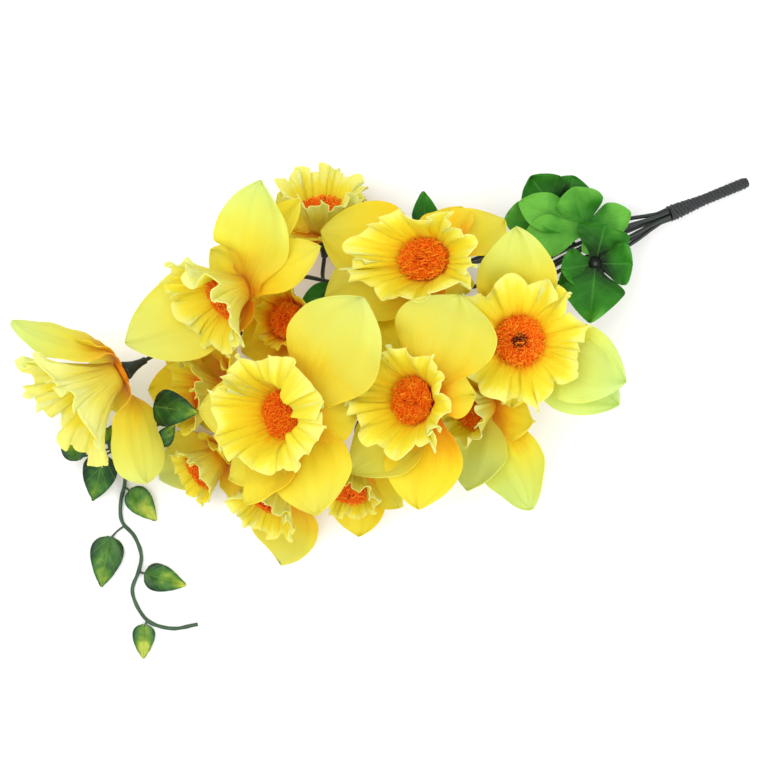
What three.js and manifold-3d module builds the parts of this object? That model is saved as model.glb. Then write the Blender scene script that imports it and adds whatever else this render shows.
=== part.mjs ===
// A bunch of artificial daffodils that lies on a surface: thirteen fabric blooms on seven forked plastic
// stems, whorls of fabric leaves, a trailing plastic ivy sprig, and a bound handle where the stems meet.
// Lengths are in millimetres, angles in degrees, and +Z is up. Places are given in a layout frame whose
// +X and +Y lie along the surface, and the last step turns the bunch so that its handle points along +X.
import * as THREE from "three";
import { mergeVertices } from "three/addons/utils/BufferGeometryUtils.js";
import Module from "manifold-3d";

const wasm = await Module();
wasm.setup();

// Driving dimensions
const FABRIC = 0.8; // thickness of petals, coronas and fabric leaves
const GAP = 0.3; // between two pieces that rest on each other
const HUB = { radius: 6, low: 0.3, high: 2.9, sides: 6 }; // disc that the petals of one bloom share
const SMALL_CUP = 0.7; // largest cup with few rings of points
const LAYERS = [1.0, 2.2]; // heights of the outer and the inner layer of petals in the hub
const CORONA = {
  root: 6.2, rim: 28, low: 3.8, high: 33, folds: 8, fold: 2.8, lift: 3.2, swing: 0.3, late: 0.2, flare: 2.4,
  least: 0.3, curl: 0.9,
};
const PAD = { foot: 3.5, radius: 11.2, low: 4.6, shoulder: 15.5, rise: 0.5, spike: 3.5, sides: 8 };
const STEM = { radius: 0.95, slot: 2.4, sides: 5, neck: 26, branchNeck: 22, steps: 7, branchSteps: 4 };
const CALYX = { radius: 4.4, long: 11, foot: 1.65, waist: 2.45, sides: 6, sunk: 2 };
const HANDLE = { tip: 2.5, top: 3.6, long: 40, sides: 10 };
const FAN = [[6, 0], [22, 0.6], [45, 1]]; // how far past the handle, and how much of its fan an arm has there
const WHORL = { hub: 3.4, layer: 1.2, twig: 2.4, neck: 2.5, play: 0.8, sides: 6 };
const IVY = { radius: 0.9, sides: 5, steps: 28, wide: 0.64, lean: 88, bend: 6, stalk: 0.5, sunk: 1.5 };

// Forms of the blades. Root and tip: half widths that are added there. Start: distance of the root from
// the axis. Flat: how far the blade stays level, and rise: the share of its length in which it then
// reaches its lean. Cup: lift of the edges, ripple: waves in them. Peak: where the blade is widest, and
// blunt: how square its tip is.
const PETAL = {
  root: 3.2, tip: 0.8, flat: 4, rise: 0.2, start: 4, cup: 0.12, ripple: 0.8, peak: 0.5, blunt: 0.85,
};
const LEAF = {
  root: 2.4, tip: 1, flat: 1, rise: 0.2, start: 2.4, cup: 0.15, ripple: 0.6, peak: 0.5, blunt: 0.8,
};
const IVY_LEAF = {
  root: 0.6, tip: 0.4, flat: 0, rise: 0.1, start: 0, cup: 0.12, ripple: 0.3, peak: 0.25, blunt: 1.1,
};

// The line of the bound stems: it starts at the handle's tip on the surface and climbs into the flowers.
const BINDING_ANGLE = 22.5; // direction of the handle in the layout frame
const HANDLE_TIP = [171.2, 92.3, 2.5];
const CLIMB = 0.2; // rise of the line for each millimetre along it
const CLIMB_END = 215; // where the line stops rising
const PLACE = [-17.8, -11.98]; // moves the finished bunch so that its box is centred on the origin

const COLOURS = {
  petal: 0xf2e233,
  corona: 0xfbcf12,
  pad: 0xf0530c,
  stem: 0x23412f,
  leaf: 0x2f7d2c,
  ivy: 0x3f6d3c,
};

// Each bloom: base, where its petals meet; face, the way the petals look; mouth, the way the corona's
// mouth looks; cup, the size of the corona; squash, how far it is pressed flat; deep, its depth for its
// size; petals as [turn, lean, bend, twist, long, wide]. Turn goes round the face from the right, lean is
// measured from the face's axis, and bend is the curl back along the petal. Petals lie in the outer and
// the inner layer by turns.
const BLOOMS = {
  a: {
    base: [-58.5, 41.5, 68], face: [-0.8, -0.2, 0.56], mouth: [-0.7, -0.65, 0.42], cup: 0.81,
    petals: [
      [60, 130, 0, 0, 44, 20], [57, 88, 0, 40, 52, 35], [20, 120, 0, 0, 41, 22], [-114, 82, 0, 40, 40, 30],
      [-159, 38, 0, 0, 62, 39], [130, 75, 0, 0, 21, 22],
    ],
  },
  b: {
    base: [-26, 66.5, 24], face: [-0.04, 0.86, 0.5], mouth: [0.03, 0.87, 0.49], cup: 0.68,
    petals: [
      [90, 75, 0, 0, 38, 26], [30, 50, 0, 0, 22, 22], [-30, 60, 0, 0, 24, 24], [-90, 60, 0, 0, 22, 24],
      [-150, 60, 0, 0, 28, 24], [145, 50, 0, 0, 26, 20],
    ],
  },
  c: {
    base: [26, 53, 60], face: [-0.5, 0.05, 0.86], mouth: [-0.35, 0.05, 0.93], cup: 0.86, squash: -0.25,
    petals: [
      [85, 140, 0, 0, 30, 26], [165, 62, 0, 0, 51, 40], [-160, 62, 0, 0, 50, 38], [-113, 81, 0, 0, 46, 44],
      [-60, 165, 0, 0, 22, 18], [45, 146, 0, 0, 38, 27],
    ],
  },
  d: {
    base: [62, 17.5, 54], face: [0.02, 0, 1], mouth: [0.06, 0, 1], cup: 0.98, deep: 0.5,
    petals: [
      [92, 66, 0, 0, 50, 36], [-21, 82, 0, 0, 48, 36], [-32, 88, 5, 0, 50, 34], [-95, 95, 0, 0, 26, 24],
      [-150, 100, 0, 0, 22, 24], [165, 100, 0, 0, 20, 24],
    ],
  },
  e: {
    base: [23.3, -9, 76], face: [-0.7, 0, 0.7], mouth: [-0.37, 0, 0.92], cup: 0.82,
    petals: [
      [10, 165, 0, 0, 20, 20], [72, 96, 0, 30, 45, 47], [-134, 60, 0, 0, 46, 36],
      [-94, 85, 0, -25, 44.5, 36], [176, 62, 0, 0, 32, 32],
    ],
  },
  f: {
    base: [-32.5, -14.5, 80], face: [-0.8, 0, 0.6], mouth: [-0.24, -0.03, 0.97], cup: 0.91,
    petals: [
      [0, 160, 0, 0, 24, 28], [53, 96, 0, 26, 59, 47], [-72, 85, 0, -25, 43, 40], [-115, 62, 0, 0, 45, 30],
      [-142, 68, 0, 0, 47, 36], [178, 55, 0, 0, 50, 34],
    ],
  },
  g: {
    base: [-116, 4, 44], face: [-0.86, -0.46, 0.22], mouth: [-0.73, -0.59, 0.34], cup: 0.92, squash: 0.15,
    deep: 1.15,
    petals: [
      [88, 30, 22, -30, 54, 30], [-91, 72, 0, 55, 48, 30], [108, 46, 0, 0, 26, 22],
      [-150, 60, 0, 0, 24, 24], [165, 75, 0, 0, 30, 28],
    ],
  },
  h: {
    base: [50, -10, 34], face: [-0.6, -0.3, 0.74], mouth: [-0.82, -0.15, 0.5], cup: 0.5,
    petals: [
      [-75, 90, 0, 0, 49, 38], [-104, 62, 0, 0, 38, 30], [40, 90, 0, 0, 24, 24], [-20, 90, 0, 0, 22, 24],
      [110, 85, 0, 0, 20, 24], [170, 55, 0, 0, 24, 24],
    ],
  },
  i: {
    base: [-68, -6, 28], face: [-0.9, -0.05, 0.4], mouth: [-0.9, -0.05, 0.4], cup: 0.62,
    petals: [
      [90, 52, 0, 0, 26, 28], [30, 60, 0, 0, 20, 24], [-30, 55, 0, 0, 22, 26], [175, 46, 0, 0, 43, 30],
      [-140, 50, 0, 0, 20, 22], [142, 52, 0, 0, 38, 30],
    ],
  },
  j: {
    base: [-72, -34, 18], face: [-0.7, -0.55, 0.35], mouth: [-0.72, -0.46, 0.44], cup: 0.47,
    petals: [
      [90, 50, 0, 0, 12, 16], [30, 55, 0, 0, 12, 16], [-30, 55, 0, 0, 11, 15], [-90, 60, 0, 0, 20, 22],
      [180, 46, 0, 0, 37, 28], [142, 52, 0, 0, 26, 22],
    ],
  },
  k: {
    base: [-45, -43.5, 26], face: [-0.35, -0.8, 0.35], mouth: [-0.45, -0.7, 0.4], cup: 0.6,
    petals: [
      [90, 50, 0, 0, 26, 24], [30, 60, 0, 0, 20, 22], [-30, 65, 0, 0, 16, 18], [-122, 62, 0, 0, 53, 36],
      [-168, 55, 0, 0, 24, 21], [150, 50, 0, 0, 11, 14],
    ],
  },
  l: {
    base: [-12, -39.5, 28], face: [-0.1, -0.75, 0.55], mouth: [-0.1, -0.75, 0.55], cup: 0.45,
    petals: [
      [90, 50, 0, 0, 24, 24], [30, 50, 0, 0, 26, 24], [-30, 50, 0, 0, 26, 24], [-90, 50, 0, 0, 32, 26],
      [-150, 50, 0, 0, 19, 20], [150, 50, 0, 0, 22, 20],
    ],
  },
  m: {
    base: [-35, 26, 34], face: [-0.5, 0.1, 0.85], mouth: [-0.5, 0.1, 0.85], cup: 0.48,
    petals: [
      [-30, 50, 0, 0, 26, 24], [-150, 60, 0, 0, 27, 26], [-90, 50, 0, 0, 31, 26], [150, 50, 0, 0, 26, 24],
    ],
  },
};

// Whorls of fabric leaves on short twigs: the stem that carries the twig; hub, where the leaves meet;
// face, the way they look; leaves as [turn, lean, bend, long, wide].
const WHORLS = {
  whorl_upper: {
    stem: "stem_cb", hub: [94, 69, 31], face: [0.05, 0.1, 0.98],
    leaves: [
      [105, 80, 10, 18, 21], [159, 85, 5, 31, 18], [-168, 90, 0, 28, 19], [20, 80, 5, 20, 15],
      [-60, 85, 0, 12, 14],
    ],
  },
  whorl_lower: {
    stem: "stem_el", hub: [98, 53, 38], face: [-0.05, -0.05, 0.98],
    leaves: [
      [76, 75, 0, 17, 24], [0, 80, 5, 15, 19], [-95, 85, 8, 25, 29], [-135, 95, 5, 19, 16],
      [-170, 80, 0, 14, 17],
    ],
  },
  whorl_back: {
    stem: "stem_am", hub: [83, 72.5, 26.5], face: [0, 0.1, 0.98],
    leaves: [[74, 85, 0, 20, 24], [124, 85, 0, 23, 22], [178, 90, 0, 24, 19]],
  },
  whorl_middle: {
    stem: "stem_am", hub: [-13, 38.5, 47], face: [-0.1, 0.1, 0.98],
    leaves: [[-174, 86, 5, 20, 14], [-60, 90, 0, 9, 10]],
  },
  whorl_top: {
    stem: "stem_cb", hub: [22, 62, 20], face: [0, 0.1, 0.98],
    leaves: [[95, 80, 5, 23, 12], [150, 85, 5, 14, 11]],
  },
};

// Each fork: the bloom at the end of its arm, the bloom on its branch, where along the arm the branch
// leaves, the place of the arm round the binding's line (null for the middle one), how far it fans out
// from there, and points that the arm and the branch pass.
const FORKS = {
  stem_cb: {
    far: "b", near: "c", leaves: 0.5, round: 15, fan: 6, by: [[50, 58, 20], [4, 40, 9]], branchBy: [],
  },
  stem_am: {
    far: "a", near: "m", leaves: 0.7, round: 68, fan: 6,
    by: [[55, 46, 32], [10, 38, 36], [-20, 44, 39]], branchBy: [],
  },
  stem_fk: {
    far: "k", near: "f", leaves: 0.65, round: 121, fan: 5, by: [[50, 32, 30], [-5, -2, 28]], branchBy: [],
  },
  stem_el: {
    far: "l", near: "e", leaves: 0.7, round: 174, fan: 6, by: [[60, 32, 24], [25, 6, 22]],
    branchBy: [[36, 6, 50]],
  },
  stem_dh: { far: "h", near: "d", leaves: 0.5, round: 227, fan: 6, by: [], branchBy: [] },
  stem_j: {
    far: "j", near: null, leaves: 0, round: 280, fan: 4, by: [[50, 36, 12], [0, 8, 12]], branchBy: [],
  },
  stem_gi: {
    far: "g", near: "i", leaves: 0.7, round: null, fan: 0,
    by: [[60, 41, 21], [10, 26, 20], [-45, 16, 22], [-75, 24, 35]], branchBy: [],
  },
};

// The ivy's line, and its leaves as [base, turn, long, tilt].
const IVY_LINE = [
  [-60, -9, 12], [-82, -19, 15], [-100, -20, 20], [-114, -24, 22], [-125, -29, 18], [-119, -40, 11],
  [-119, -48, 3], [-121, -57, 1.2], [-120.4, -66, 1.2], [-114.6, -73, 1.2], [-111.4, -82, 1.2],
  [-112.6, -89, 1.2], [-115.6, -98, 1.2], [-112.6, -107, 1.2], [-107.4, -113, 1.2], [-97, -116, 1.2],
  [-85, -114, 1.2],
];
const IVY_LEAVES = [
  [[-103, -12, 38], -7, 26, 38], [[-101, -30, 26], 56, 12, 0], [[-139, -37, 18], 110, 19, -10],
  [[-127.5, -34.5, 16], -106, 25, -25], [[-128, -29, 19], 60, 9, 0], [[-116.5, -51, 4], -50, 19, 0],
  [[-126, -73, 1.5], -100, 24, 0], [[-109.8, -90.3, 1.5], -16, 20, 0], [[-110, -114, 1.5], -92, 16, 0],
];

const rad = THREE.MathUtils.degToRad;
const V = (x, y, z) => new THREE.Vector3(x, y, z);

// A closed solid from an open surface: both faces are the same triangles, FABRIC apart, and a band closes
// the free edges.
function thicken(points, triangles, thick) {
  const normals = points.map(() => V(0, 0, 0));
  for (const [a, b, c] of triangles) {
    const face = points[b].clone().sub(points[a]).cross(points[c].clone().sub(points[a]));
    for (const corner of [a, b, c]) normals[corner].add(face);
  }
  const count = points.length;
  const position = new Float32Array(count * 6);
  points.forEach((point, i) => {
    const half = normals[i].setLength(thick / 2);
    position.set(point.clone().add(half).toArray(), i * 3);
    position.set(point.clone().sub(half).toArray(), (count + i) * 3);
  });
  const edges = new Set(triangles.flatMap(([a, b, c]) => [`${a},${b}`, `${b},${c}`, `${c},${a}`]));
  const index = [];
  for (const [a, b, c] of triangles) {
    index.push(a, b, c, count + c, count + b, count + a);
    for (const [from, to] of [[a, b], [b, c], [c, a]])
      if (!edges.has(`${to},${from}`))
        index.push(count + from, count + to, to, count + from, to, from);
  }
  return new THREE.BufferGeometry()
    .setAttribute("position", new THREE.BufferAttribute(position, 3))
    .setIndex(index);
}

function toSolid(geometry) {
  const bare = geometry.clone();
  bare.deleteAttribute("normal");
  bare.deleteAttribute("uv");
  const merged = mergeVertices(bare, 1e-4);
  return new wasm.Manifold(
    new wasm.Mesh({
      numProp: 3,
      vertProperties: merged.attributes.position.array,
      triVerts: new Uint32Array(merged.index.array),
    }),
  );
}

function toGeometry(solid) {
  const mesh = solid.getMesh();
  const position = new Float32Array(mesh.numVert * 3);
  for (let i = 0; i < mesh.numVert; i++)
    position.set(mesh.vertProperties.subarray(i * mesh.numProp, i * mesh.numProp + 3), i * 3);
  return new THREE.BufferGeometry()
    .setAttribute("position", new THREE.BufferAttribute(position, 3))
    .setIndex(new THREE.BufferAttribute(mesh.triVerts, 1));
}

// Axes of something that looks along a direction: up is the layout's +Y as nearly as that allows.
function axesOf(direction) {
  const ahead = V(...direction).normalize();
  const up = V(0, 1, 0).addScaledVector(ahead, -ahead.y).normalize();
  return { ahead, up, right: up.clone().cross(ahead) };
}

// Nothing goes through the surface that the bunch lies on.
function aboveSurface(point, thick) {
  point.z = Math.max(point.z, thick / 2);
  return point;
}

// A blade that grows out from an axis. It leaves level, rises to its lean over a share of its length, and
// bends on from there. Rows of points run across it, from the root to the tip.
function bladeRows(place, blade, stations, across) {
  const { origin, axes } = place;
  const { turn, lean, bend, twist, long, wide, root, tip, flat, rise, start, height } = blade;
  const { cup, ripple, peak, blunt } = blade;
  const out = axes.right.clone().multiplyScalar(Math.cos(rad(turn)));
  out.addScaledVector(axes.up, Math.sin(rad(turn)));
  const side = axes.ahead.clone().cross(out);
  const steps = 48;
  const spine = [origin.clone().addScaledVector(out, start).addScaledVector(axes.ahead, height)];
  const risen = (u) => THREE.MathUtils.clamp((u - flat / long) / rise, 0, 1);
  const angleAt = (u) => rad(90 + (lean - 90) * risen(u) + bend * u);
  for (let i = 0; i < steps; i++) {
    const angle = angleAt((i + 0.5) / steps);
    const next = spine[i].clone().addScaledVector(out, (Math.sin(angle) * long) / steps);
    spine.push(next.addScaledVector(axes.ahead, (Math.cos(angle) * long) / steps));
  }
  return stations.map((u) => {
    const angle = angleAt(u);
    const normal = axes.ahead.clone().multiplyScalar(Math.sin(angle));
    normal.addScaledVector(out, -Math.cos(angle));
    const turned = rad(twist) * THREE.MathUtils.smoothstep(u, flat / long, 0.35);
    const wing = side.clone().multiplyScalar(Math.cos(turned)).addScaledVector(normal, Math.sin(turned));
    normal.multiplyScalar(Math.cos(turned)).addScaledVector(side, -Math.sin(turned));
    const spread = THREE.MathUtils.smoothstep(u, 0, peak);
    const narrow = Math.max(0, 1 - Math.max(0, (u - peak) / (1 - peak)) ** 2.2) ** blunt;
    const half = (root + (wide / 2 - root) * spread) * narrow + tip * u;
    const at = Math.round(u * steps);
    return across.map((v) => {
      const lift = cup * v * v * half * spread + ripple * u * Math.sin(4 * v + turn);
      const point = spine[at].clone().addScaledVector(wing, half * v).addScaledVector(normal, lift);
      return aboveSurface(point, FABRIC);
    });
  });
}

function sheetFromRows(rows, thick) {
  const width = rows[0].length;
  const triangles = [];
  for (let i = 0; i + 1 < rows.length; i++)
    for (let j = 0; j + 1 < width; j++) {
      const a = i * width + j;
      const b = a + width;
      triangles.push([a, b, a + 1], [b, b + 1, a + 1]);
    }
  return thicken(rows.flat(), triangles, thick);
}

const STATIONS = [0, 0.1875, 0.4167, 0.6458, 0.8542, 1];
const FEW_STATIONS = [0, 0.25, 0.6, 0.85, 1];
const SMALL_PETAL = 30; // widest petal that is flat across

// Petals that show have a fold along the middle, and the small hidden ones are flat across.
function petalSolid(bloom, [turn, lean, bend, twist, long, wide], layer) {
  const place = { origin: bloom.origin, axes: bloom.axes };
  const blade = { ...PETAL, turn, lean, bend, twist, long, wide, height: layer };
  const shows = wide > SMALL_PETAL;
  const rows = bladeRows(place, blade, shows ? STATIONS : FEW_STATIONS, shows ? [-1, 0, 1] : [-1, 1]);
  return toSolid(sheetFromRows(rows, FABRIC));
}

// A flat round piece with its axis along a direction.
function disc(origin, axes, radius, low, high, sides) {
  const shape = new THREE.CylinderGeometry(radius, radius, high - low, sides);
  shape.rotateX(Math.PI / 2);
  shape.translate(0, 0, (low + high) / 2);
  shape.applyMatrix4(new THREE.Matrix4().makeBasis(axes.right, axes.up, axes.ahead).setPosition(origin));
  return toSolid(shape);
}

function petalsGeometry(bloom) {
  let solid = disc(bloom.origin, bloom.axes, HUB.radius, HUB.low, HUB.high, HUB.sides);
  bloom.petals.forEach((petal, i) => {
    solid = solid.add(petalSolid(bloom, petal, LAYERS[i % 2]));
  });
  return toGeometry(solid);
}

// A point of the corona or pad. Their shared axis starts along the bloom's face and bends to its mouth.
function mouthPoint(bloom, angle, radius, height) {
  const { ahead, up } = bloom.axes;
  const t = height / CORONA.high;
  const centre = bloom.origin.clone().addScaledVector(ahead, CORONA.high * (t - (t * t) / 2));
  centre.addScaledVector(bloom.towards, (CORONA.high * t * t) / 2);
  const axis = ahead.clone().multiplyScalar(1 - t).addScaledVector(bloom.towards, t).normalize();
  const upward = up.clone().addScaledVector(axis, -axis.dot(up)).normalize();
  const rightward = upward.clone().cross(axis);
  const flat = bloom.squash * t;
  centre.addScaledVector(rightward, radius * Math.cos(angle) * (1 - flat));
  return centre.addScaledVector(upward, radius * Math.sin(angle) * (1 + flat));
}

// The ruffled cup. A big one has one more ring of points than a small one.
function coronaGeometry(bloom) {
  const few = CORONA.folds;
  const middle = bloom.cup > SMALL_CUP ? [[0.3, 2 * few], [0.65, 4 * few]] : [[0.4, 2 * few]];
  const rings = [[0, few], ...middle, [1, 4 * few]];
  const points = [mouthPoint(bloom, 0, 0, CORONA.low)];
  const starts = [];
  for (const [t, count] of rings) {
    starts.push(points.length);
    for (let i = 0; i < count; i++) {
      const angle = (2 * Math.PI * i) / count;
      const wave = CORONA.folds * angle + bloom.phase;
      const swell = t * t * (1 + CORONA.swing * Math.sin(2 * angle + 2 * bloom.phase));
      const spread = CORONA.rim * bloom.cup - CORONA.root;
      const radius = CORONA.root + spread * ((1 - CORONA.late) * t + CORONA.late * t ** CORONA.flare);
      const share = CORONA.least + (1 - CORONA.least) * bloom.cup;
      const deep = CORONA.high * bloom.deep * share - CORONA.low;
      const height = CORONA.low + deep * t ** CORONA.curl;
      const point = mouthPoint(
        bloom, angle, radius + CORONA.fold * bloom.cup * swell * Math.cos(wave),
        height + CORONA.lift * bloom.cup * swell * Math.sin(wave),
      );
      points.push(aboveSurface(point, FABRIC));
    }
  }
  const triangles = [];
  for (let i = 0; i < rings[0][1]; i++) triangles.push([0, 1 + i, 1 + ((i + 1) % rings[0][1])]);
  for (let r = 0; r + 1 < rings.length; r++) {
    const [inner, outer] = [rings[r][1], rings[r + 1][1]];
    for (let i = 0; i < inner; i++) {
      const a = starts[r] + i;
      const b = starts[r] + ((i + 1) % inner);
      const step = outer / inner;
      const c = starts[r + 1] + i * step;
      const d = starts[r + 1] + ((i * step + 1) % outer);
      const e = starts[r + 1] + ((i * step + 2) % outer);
      if (step === 1) triangles.push([a, c, d], [a, d, b]);
      else triangles.push([a, c, d], [a, d, b], [b, d, e]);
    }
  }
  return thicken(points, triangles, FABRIC);
}

// The pad of threads in the throat: a brush shape whose top stands up in points.
function padGeometry(bloom) {
  const shoulder = PAD.low + (PAD.shoulder - PAD.low) * Math.min(1, bloom.deep);
  const rings = [
    [PAD.foot, PAD.low, 0], [PAD.radius, shoulder, 0], [0.85 * PAD.radius, shoulder + PAD.rise, 1],
    [0.5 * PAD.radius, shoulder + PAD.rise, -1],
  ];
  const points = [mouthPoint(bloom, 0, 0, PAD.low)];
  for (const [radius, height, spike] of rings)
    for (let i = 0; i < PAD.sides; i++) {
      const raised = spike && (i % 2 ? 1 : -1) === spike ? PAD.spike : 0;
      const wide = (radius * (0.5 + 0.5 * bloom.cup)) / Math.max(1, bloom.deep) ** 0.6;
      points.push(mouthPoint(bloom, (2 * Math.PI * i) / PAD.sides, wide, height + raised));
    }
  points.push(mouthPoint(bloom, 0, 0, shoulder + 2 * PAD.rise));
  const last = points.length - 1;
  const index = [];
  for (let i = 0; i < PAD.sides; i++) {
    const j = (i + 1) % PAD.sides;
    index.push(0, 1 + j, 1 + i);
    for (let r = 0; r + 1 < rings.length; r++) {
      const a = 1 + r * PAD.sides;
      const b = a + PAD.sides;
      index.push(a + i, a + j, b + j, a + i, b + j, b + i);
    }
    const top = 1 + (rings.length - 1) * PAD.sides;
    index.push(top + i, top + j, last);
  }
  const position = new Float32Array(points.flatMap((p) => p.toArray()));
  return new THREE.BufferGeometry()
    .setAttribute("position", new THREE.BufferAttribute(position, 3))
    .setIndex(index);
}

// A point on the line of the bound stems, and one beside it. Round is the angle about the line.
const bindingSide = V(-Math.sin(rad(BINDING_ANGLE)), Math.cos(rad(BINDING_ANGLE)), 0);
function bindingPoint(along, offset = 0, round = 0) {
  const point = V(...HANDLE_TIP);
  point.x -= along * Math.cos(rad(BINDING_ANGLE));
  point.y -= along * Math.sin(rad(BINDING_ANGLE));
  point.z += CLIMB * Math.min(along, CLIMB_END);
  point.addScaledVector(bindingSide, offset * Math.cos(rad(round)));
  point.z += offset * Math.sin(rad(round));
  return point;
}

function tube(points, radius, steps, sides) {
  const shape = new THREE.Shape();
  for (let i = 0; i < sides; i++) {
    const angle = (2 * Math.PI * i) / sides;
    const move = i ? "lineTo" : "moveTo";
    shape[move](radius * Math.cos(angle), radius * Math.sin(angle));
  }
  const path = new THREE.CatmullRomCurve3(points, false, "centripetal");
  const options = { steps, extrudePath: path, bevelEnabled: false };
  return { path, solid: toSolid(new THREE.ExtrudeGeometry(shape, options)) };
}

function nearestOn(path, place) {
  const points = path.getPoints(120);
  return points.reduce((best, point) =>
    point.distanceToSquared(place) < best.distanceToSquared(place) ? point : best,
  );
}

// The cup behind a bloom, with its open end at the petals' hub.
function calyx(bloom) {
  const { radius, long, foot, waist, sides } = CALYX;
  const profile = [[0, -long], [foot, -long], [waist, -0.5 * long], [radius, 0], [0, 0]];
  const cup = new THREE.LatheGeometry(profile.map(([x, y]) => new THREE.Vector2(x, y)), sides);
  cup.rotateX(Math.PI / 2);
  const { right, up, ahead } = bloom.axes;
  cup.applyMatrix4(new THREE.Matrix4().makeBasis(right, up, ahead).setPosition(bloom.origin));
  return toSolid(cup);
}

const blooms = {};
Object.entries(BLOOMS).forEach(([name, bloom], i) => {
  const axes = axesOf(bloom.face);
  blooms[name] = {
    squash: 0, deep: 1, ...bloom, axes, origin: V(...bloom.base),
    towards: V(...bloom.mouth).normalize(), phase: 1.7 * i,
  };
});

function behind(bloom, distance) {
  return bloom.origin.clone().addScaledVector(bloom.axes.ahead, -distance);
}

// Arms leave the binding in a ring, fan out over FAN, and then run to their blooms.
function forkGeometry(name, { far, near, leaves, round, fan, by, branchBy }) {
  const bloom = blooms[far];
  const slot = round === null ? 0 : STEM.slot;
  const arm = tube(
    [
      bindingPoint(HANDLE.long + GAP, slot, round),
      ...FAN.map(([along, share]) => bindingPoint(HANDLE.long + along, share * fan + slot, round)),
      ...by.map((point) => V(...point)),
      behind(bloom, STEM.neck),
      behind(bloom, CALYX.long - CALYX.sunk),
    ],
    STEM.radius, STEM.steps + by.length, STEM.sides,
  );
  let solid = arm.solid.add(calyx(bloom));
  if (near) {
    const other = blooms[near];
    const from = arm.path.getPoint(leaves);
    const way = branchBy.length ? branchBy.map((point) => V(...point)) : [behind(other, STEM.branchNeck)];
    const end = behind(other, CALYX.long - CALYX.sunk);
    const branch = tube([from, ...way, end], STEM.radius, STEM.branchSteps, STEM.sides);
    solid = solid.add(branch.solid).add(calyx(other));
  }
  for (const whorl of Object.values(WHORLS)) {
    if (whorl.stem !== name) continue;
    const { ahead } = axesOf(whorl.face);
    const hub = V(...whorl.hub);
    const neck = hub.clone().addScaledVector(ahead, -WHORL.neck);
    const top = hub.clone().addScaledVector(ahead, FABRIC + 2 * WHORL.layer + WHORL.twig);
    const twig = tube([nearestOn(arm.path, hub), neck, top], STEM.radius, 4, STEM.sides);
    solid = solid.add(twig.solid);
  }
  return toGeometry(solid);
}

function whorlGeometry(whorl) {
  const place = { origin: V(...whorl.hub), axes: axesOf(whorl.face) };
  const high = FABRIC + 2 * WHORL.layer;
  let solid = disc(place.origin, place.axes, WHORL.hub, 0, high, WHORL.sides);
  whorl.leaves.forEach(([turn, lean, bend, long, wide], i) => {
    const height = FABRIC / 2 + WHORL.layer * (i % 3);
    const blade = { ...LEAF, turn, lean, bend, twist: 0, long, wide, height };
    const rows = bladeRows(place, blade, FEW_STATIONS, [-1, 0, 1]);
    solid = solid.add(toSolid(sheetFromRows(rows, FABRIC)));
  });
  const hole = disc(place.origin, place.axes, STEM.radius + WHORL.play, -1, high + 1, WHORL.sides);
  return toGeometry(solid.subtract(hole));
}

function ivyGeometry() {
  const tendril = tube(IVY_LINE.map((point) => V(...point)), IVY.radius, IVY.steps, IVY.sides);
  let solid = tendril.solid;
  for (const [base, turn, long, tilt] of IVY_LEAVES) {
    const origin = V(...base);
    const [x, y] = [Math.cos(rad(turn)), Math.sin(rad(turn))];
    const axes = axesOf([-x * Math.sin(rad(tilt)), -y * Math.sin(rad(tilt)), Math.cos(rad(tilt))]);
    const out = V(x * Math.cos(rad(tilt)), y * Math.cos(rad(tilt)), Math.sin(rad(tilt)));
    const around = Math.atan2(out.dot(axes.up), out.dot(axes.right));
    const blade = {
      ...IVY_LEAF, turn: THREE.MathUtils.radToDeg(around), lean: IVY.lean, bend: IVY.bend, twist: 0,
      long, wide: long * IVY.wide, height: 0,
    };
    const rows = bladeRows({ origin, axes }, blade, FEW_STATIONS, [-1, 0, 1]);
    const leaf = toSolid(sheetFromRows(rows, FABRIC));
    const inside = origin.clone().addScaledVector(out, IVY.sunk);
    const stalk = tube([nearestOn(tendril.path, origin), inside], IVY.stalk, 1, IVY.sides);
    solid = solid.add(stalk.solid).add(leaf);
  }
  return toGeometry(solid);
}

function handleGeometry() {
  const shape = new THREE.CylinderGeometry(HANDLE.top, HANDLE.tip, HANDLE.long, HANDLE.sides);
  const from = bindingPoint(0);
  const to = bindingPoint(HANDLE.long);
  const turn = new THREE.Quaternion().setFromUnitVectors(V(0, 1, 0), to.clone().sub(from).normalize());
  shape.applyQuaternion(turn);
  const middle = from.clone().add(to).multiplyScalar(0.5);
  return shape.translate(middle.x, middle.y, middle.z);
}

const bunch = new THREE.Group();
function piece(name, geometry, colour, roughness) {
  const material = new THREE.MeshStandardMaterial({ color: colour, roughness, metalness: 0 });
  const mesh = new THREE.Mesh(geometry, material);
  mesh.name = name;
  bunch.add(mesh);
}

for (const [name, bloom] of Object.entries(blooms)) {
  piece(`petals_${name}`, petalsGeometry(bloom), COLOURS.petal, 0.6);
  piece(`corona_${name}`, coronaGeometry(bloom), COLOURS.corona, 0.6);
  piece(`pad_${name}`, padGeometry(bloom), COLOURS.pad, 0.7);
}
for (const [name, fork] of Object.entries(FORKS)) piece(name, forkGeometry(name, fork), COLOURS.stem, 0.5);
for (const [name, whorl] of Object.entries(WHORLS)) piece(name, whorlGeometry(whorl), COLOURS.leaf, 0.6);
piece("ivy", ivyGeometry(), COLOURS.ivy, 0.5);
piece("handle", handleGeometry(), COLOURS.stem, 0.6);

const placed = new THREE.Group();
bunch.rotation.z = -rad(BINDING_ANGLE);
bunch.position.set(PLACE[0], PLACE[1], 0);
placed.add(bunch);

export default placed;
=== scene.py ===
"""Looks of an artificial daffodil bunch that lies on a pale surface.

The frame's solids are plain. Each is replaced by a finer mesh of the same form: petals and leaves with
creases and veins, ruffled cups, pads of looped threads, smooth stems and a twisted handle. Lengths are in
millimetres and angles in degrees in a layout frame, whose +X and +Y lie along the surface, and place()
turns them into the frame's metres.
"""
from math import atan2, cos, degrees, pi, radians, sin, sqrt

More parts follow.
